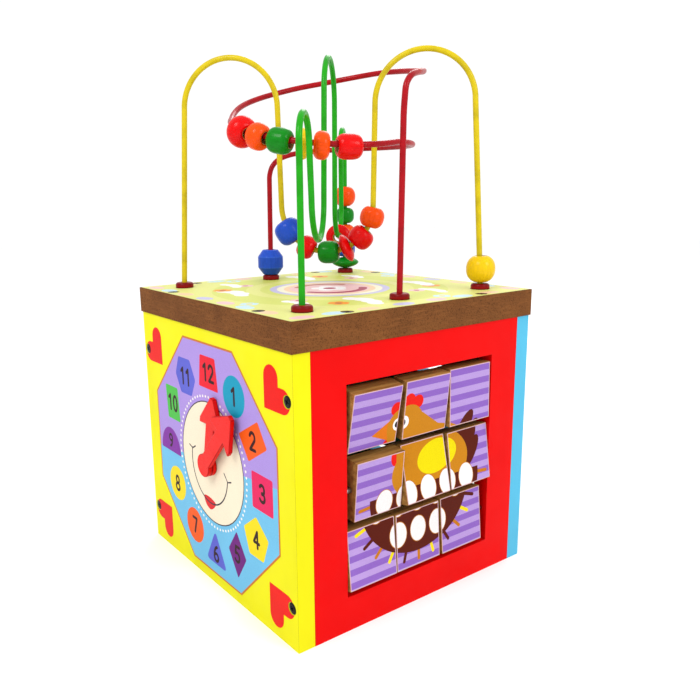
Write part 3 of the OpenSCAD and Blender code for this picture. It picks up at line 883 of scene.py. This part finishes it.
def picture_blocks():
    """Nine leaning tiles, each with its share of the hen in front and of the boat behind."""
    wide, high = TILE
    looks = [block_wood, wood("block_edge", "#c79a58", "#93642f")]
    pictures = (hen_picture(), pond_picture())
    for name, row, middle, lean in BLOCKS:
        softened(name, name + "_wood", 0.35, looks, segments=2, body=name)
        column, sheets = BLOCKS.index((name, row, middle, lean)) % 3 - 1, []
        for side, picture in enumerate(pictures):
            across, up = column * wide * (1 - 2 * side), ROWS[1] + (1 - row) * high
            layers = []
            for inset, colour in ((0.3, "paper"), (0.75, "white")):
                x, y = wide / 2 - inset, high / 2 - inset
                layers.append((rounded(box(-x, -y, x, y), 0.4, 3), colour))
            for loop, colour in picture:
                layers.append(([(x - across, y - up) for x, y in loop], colour))
            out = TILE_HALF * (1 - 2 * side)
            face = facing((0, 1 - 2 * side, 0), (0, 0, 1), (out, 0, 0))
            pivot = Matrix.Translation(Vector((ROD_X, middle, ROWS[row])) * MM)
            sheets.append((pivot @ Matrix.Rotation(math.radians(lean), 4, "Y") @ face, layers, 2))
        printed(name + "_pictures", name, *sheets)


# ---- bead maze ----

FOOT = 76
FOOT_DEPTH = 13.5
COLLAR_TOP = 4.2
WIRE_R = 1.96
STRAND_R = 62.5
STRAND_DROP = 1.3
DIP_DROP = 0.4
HOOP_DROP = 1.2
SPAN = 2 * math.sqrt(2) * FOOT
YELLOW_LOOPS = [(40.3, 33.4, 125.4), (SPAN / 2, 32.6, 58.8), (SPAN - 40.3, 33.4, 126)]
GREEN_LOOPS = [
    (18, 17.2, 94.6), (66.5, 26.2, 63.3), (127, 26.9, 132.5), (170, 20.4, 54.4),
    (SPAN - 12.8, 12.8, 104.5),
]
RED_RISE = [
    (0, 77.4, 92), (0, 78.2, 112), (0.3, 78.6, 122), (1.2, 78.6, 130), (5, 77.4, 135.5),
    (13, 74, 138.8), (24, 70, 141.2), (36, 67, 143.6), (48, 66, 146), (60, 66, 148.2),
    (74, 66, 150.6), (88, 66, 152.6), (103, 66, 153.8), (118, 66, 153.1), (132, 66, 151.3),
    (146, 66, 148.8), (160, 66, 145.8), (174, 66.2, 141.8), (188, 66.5, 137.2),
    (201, 66.7, 132.2), (212, 66.5, 127.3), (222, 66, 122),
]
RED_FALL = [
    (27, 59.3, 98.6), (40, 59.3, 98.6), (54, 59.5, 98.8), (70, 61, 99.2), (88, 63, 99.6),
    (106, 65, 100), (124, 66.5, 100.2), (140, 68, 99.8), (154, 70, 98.8), (165, 71.8, 97),
    (173, 73.2, 93.5), (177.5, 73.9, 88.5), (179.5, 74.2, 82.5), (180, 74.4, 76), (180, 74.8, 60),
]
STRAND = Matrix.Translation((-2, -2, LID_TOP + 111.8)) @ Euler(
    (0, math.radians(14.8), math.radians(342))
).to_matrix().to_4x4()


def flat_route(loops, foot, turn):
    """A wire bent in one upright plane, from a foot and back down to the lid."""
    points = [(0, 0, -FOOT_DEPTH), (0, 0, COLLAR_TOP)]
    for i, (mid, r, height) in enumerate(loops):
        up = 1 if i % 2 == 0 else -1
        for k in range(37):
            a = math.pi * k / 36
            points.append((mid - r * math.cos(a), 0, height + up * r * math.sin(a)))
    points += [(SPAN, 0, COLLAR_TOP), (SPAN, 0, -FOOT_DEPTH)]
    place = Matrix.Translation((*foot, LID_TOP)) @ turned("Z", turn)
    return [place @ Vector(p) for p in points]


def red_route():
    """Up from one foot, round the back, down through the tilted circle and back to a foot."""
    polar = lambda a, r, z: Vector((*disc_point(a, r), LID_TOP + z))
    ring = [STRAND @ Vector((*disc_point(-109 + 142 * k / 36, STRAND_R), 0)) for k in range(37)]
    rise = [polar(*p) for p in RED_RISE] + [ring[0], ring[2]]
    fall = [ring[-3], ring[-1]] + [polar(*p) for p in RED_FALL]
    curve = lambda points: [
        b + (c - a) * t / 2
        + (a - 2.5 * b + 2 * c - d / 2) * t**2
        + (1.5 * (b - c) + (d - a) / 2) * t**3
        for a, b, c, d in zip(points, points[1:], points[2:], points[3:])
        for t in (0, 0.25, 0.5, 0.75)
    ]
    low, high = LID_TOP - FOOT_DEPTH, LID_TOP + COLLAR_TOP
    start = [Vector((FOOT, 0, low)), Vector((FOOT, 0, high))]
    end = [Vector((-FOOT, 0, high)), Vector((-FOOT, 0, low))]
    return start + curve(rise) + ring + curve(fall) + end


def disc_point(angle, r):
    """The point at an angle in degrees on a circle round the origin."""
    return r * math.cos(math.radians(angle)), r * math.sin(math.radians(angle))


def wires():
    routes = (
        ("yellow_wire", "#d4bd18", flat_route(YELLOW_LOOPS, (-FOOT, -FOOT), 45)),
        ("green_wire", "#1fa014", flat_route(GREEN_LOOPS, (FOOT, -FOOT), 135)),
        ("red_wire", "#a80c18", red_route()),
    )
    for node, colour, route in routes:
        looks = [coated_wire(node + "_vinyl", colour)]
        new_piece(node + "_bar", "cube", sweep(route, WIRE_R), looks, replaces=[node])
    looks = [collar_red, moulded("collar_edge", "#7c0a10")]
    softened("wire_collars", "collars_moulded", 0.7, looks)


def bead_outline(d, length, squareness, hole):
    """Half of a bead's section: a rounded profile closed by a hole with rolled lips."""
    edge = []
    for k in range(-22, 23):
        a = math.radians(90 * k / 22)
        r = d / 2 * abs(math.cos(a)) ** (2 / squareness)
        z = length / 2 * math.copysign(abs(math.sin(a)) ** (2 / squareness), a)
        edge.append((r, z))
    lip = hole + 0.9
    outer = [(r, z) for r, z in edge if r > lip + 0.3]
    top = outer[-1][1]
    roll = [(lip - 0.9 * math.sin(t), top - 0.9 + 0.9 * math.cos(t)) for t in (0.3, 0.8, 1.3)]
    return outer + roll + [(r, -z) for r, z in reversed(roll)]


def bead(name, place, d, length, squareness, colour, hole=3.4):
    """A turned bead on its own wire, with bare wood inside its hole."""
    form = lathe(bead_outline(d, length, squareness, hole))
    for face in form.faces:
        middle = face.calc_center_median()
        face.material_index = 1 if middle.xy.length < (hole + 0.75) * MM else 0
    return new_piece(
        name + "_turned", name, form, [bead_looks[colour], bead_wood],
        place=place, replaces=[name], smooth=60,
    )


def metres(place):
    """A place in mm as one in metres."""
    place = place.copy()
    place.translation *= MM
    return place


def turned(axis, degrees):
    return Matrix.Rotation(math.radians(degrees), 4, axis)


def on_dip(loop, angle, drop, foot, turn):
    """Where a bead sits on one dip of a flat wire, at an angle from the bottom of the dip."""
    mid, r, height = loop
    place = Matrix.Translation((*foot, LID_TOP)) @ turned("Z", turn)
    place = place @ Matrix.Translation((mid, 0, height)) @ turned("Y", -angle)
    return metres(place @ Matrix.Translation((0, 0, -r - drop)) @ turned("Y", 90))


def beads():
    """Every bead and where it sits; the strand and the dip go by angle, the stack by height."""
    strand = (
        ("strand_bead_1", -73.5, 20.5, 17.2, 2.1, "red"),
        ("strand_bead_2", -58, 17.2, 14.6, 2.4, "orange"),
        ("strand_bead_3", -42.6, 16.2, 16.2, 3.2, "green"),
        ("strand_bead_4", -28.5, 19, 9.8, 2, "yellow"),
        ("strand_bead_5", -18.2, 17.4, 11.2, 2.6, "orange"),
        ("strand_bead_6", -2.5, 15.8, 17, 3.2, "red"),
    )
    for name, angle, *size in strand:
        place = STRAND @ turned("Z", angle)
        place = place @ Matrix.Translation((STRAND_R, 0, -STRAND_DROP)) @ turned("X", 90)
        bead(name, metres(place), *size)
    dip = (
        ("dip_bead_1", -56.5, 19.5, 17.5, 2.8, "blue"), ("dip_bead_2", -27, 16.5, 13.6, 2.5, "red"),
        ("dip_bead_3", 1.5, 16, 16, 3, "green"), ("dip_bead_4", 24.5, 20.5, 8.6, 1.7, "red"),
        ("dip_bead_5", 46.5, 17.5, 15, 2.5, "red"), ("dip_bead_6", 74.5, 17, 15.5, 2.4, "orange"),
    )
    for name, angle, *size in dip:
        bead(name, on_dip(YELLOW_LOOPS[1], angle, DIP_DROP, (-FOOT, -FOOT), 45), *size)
    place = on_dip(GREEN_LOOPS[3], 0, HOOP_DROP, (FOOT, -FOOT), 135)
    bead("hoop_disc", place, 20, 8, 2.2, "red")
    stack = (
        ("stack_bead_1", 4.3, 23, 9.3, 1.7, "green"), ("stack_bead_2", 13.9, 17, 13.1, 3.2, "blue"),
        ("stack_bead_3", 27.3, 16.5, 14, 2.6, "orange"),
        ("stack_bead_4", 41.6, 15.5, 13.6, 2.8, "green"),
        ("stack_bead_5", 55.5, 18, 17.5, 2.2, "orange"),
    )
    for name, low, d, length, squareness, colour in stack:
        place = metres(Matrix.Translation((-FOOT, FOOT, LID_TOP + low + length / 2)))
        bead(name, place, d, length, squareness, colour, hole=2.8)
    place = metres(Matrix.Translation((FOOT, FOOT, LID_TOP + 14.05)))
    bead("yellow_foot_bead", place, 20, 19.5, 2.3, "yellow")
    looks = [bead_looks["blue"], lacquer("blue_bevel", "#2e5cd0")]
    softened("blue_foot_bead", "blue_foot_bead_cut", 0.5, looks, body="blue_foot_bead")


# ---- sliders and gears ----

GEAR_TEETH = (16, 12, 12)
TOOTH_RADIUS = 2.25
GEAR_PLAY = 0.6
GEAR_FRONT = -108.4
GEAR_MIDDLES = [(-42.0, 110.0)]
for i, turn in enumerate((-40, 50)):
    reach = (GEAR_TEETH[i] + GEAR_TEETH[i + 1]) * TOOTH_RADIUS + GEAR_PLAY
    last_y, last_z = GEAR_MIDDLES[-1]
    a = math.radians(turn)
    GEAR_MIDDLES.append((last_y + reach * math.cos(a), last_z + reach * math.sin(a)))


def sliders_and_gears():
    knobs = (("slider_1", "red"), ("slider_2", "yellow"), ("slider_3", "green"))
    for name, colour in knobs:
        looks = [bead_looks[colour]]
        softened(name, name + "_knob", 1.4, looks, body=name, segments=4)
        softened(name + "_washer", name + "_washer_wood", 0.5, [peg_wood], body=name)
    gears = (
        ("gear_1", "red", "#d8120e"), ("gear_2", "yellow", "#efc40e"), ("gear_3", "blue", "#2450c4"),
    )
    for name, colour, tone in gears:
        looks = [paint(name + "_paint", tone), worn_paint(name + "_edge", tone)]
        softened(name, name + "_wheel", 0.5, looks, segments=2, body=name)
    for i, (rim, petal) in enumerate((("yellow", "white"), ("red", "orange"), ("teal", "yellow"))):
        y, z = GEAR_MIDDLES[i]
        r = GEAR_TEETH[i] * TOOTH_RADIUS - 6
        layers = [(disc(0, 0, r, steps=64), rim), (disc(0, 0, r - 3, steps=64), petal)]
        for k in range(8):
            a = math.pi * k / 4
            mark = disc(0.68 * r * math.cos(a), 0.68 * r * math.sin(a), 0.2 * r, 0.1 * r, 45 * k, 24)
            layers.append((mark, rim))
        layers.append((disc(0, 0, PEG_HOLE, steps=32), None))
        place = facing((0, -1, 0), (0, 0, 1), (GEAR_FRONT, y, z))
        printed(f"gear_{i + 1}_print", f"gear_{i + 1}", (place, layers))
    softened("gear_pegs", "gear_pegs_wood", 0.8, [peg_wood])


set_the_stage()
box_boards()
screws()
lid_print()
clock_print()
slider_print()
gear_print()
clock_hands()
picture_blocks()
wires()
beads()
sliders_and_gears()
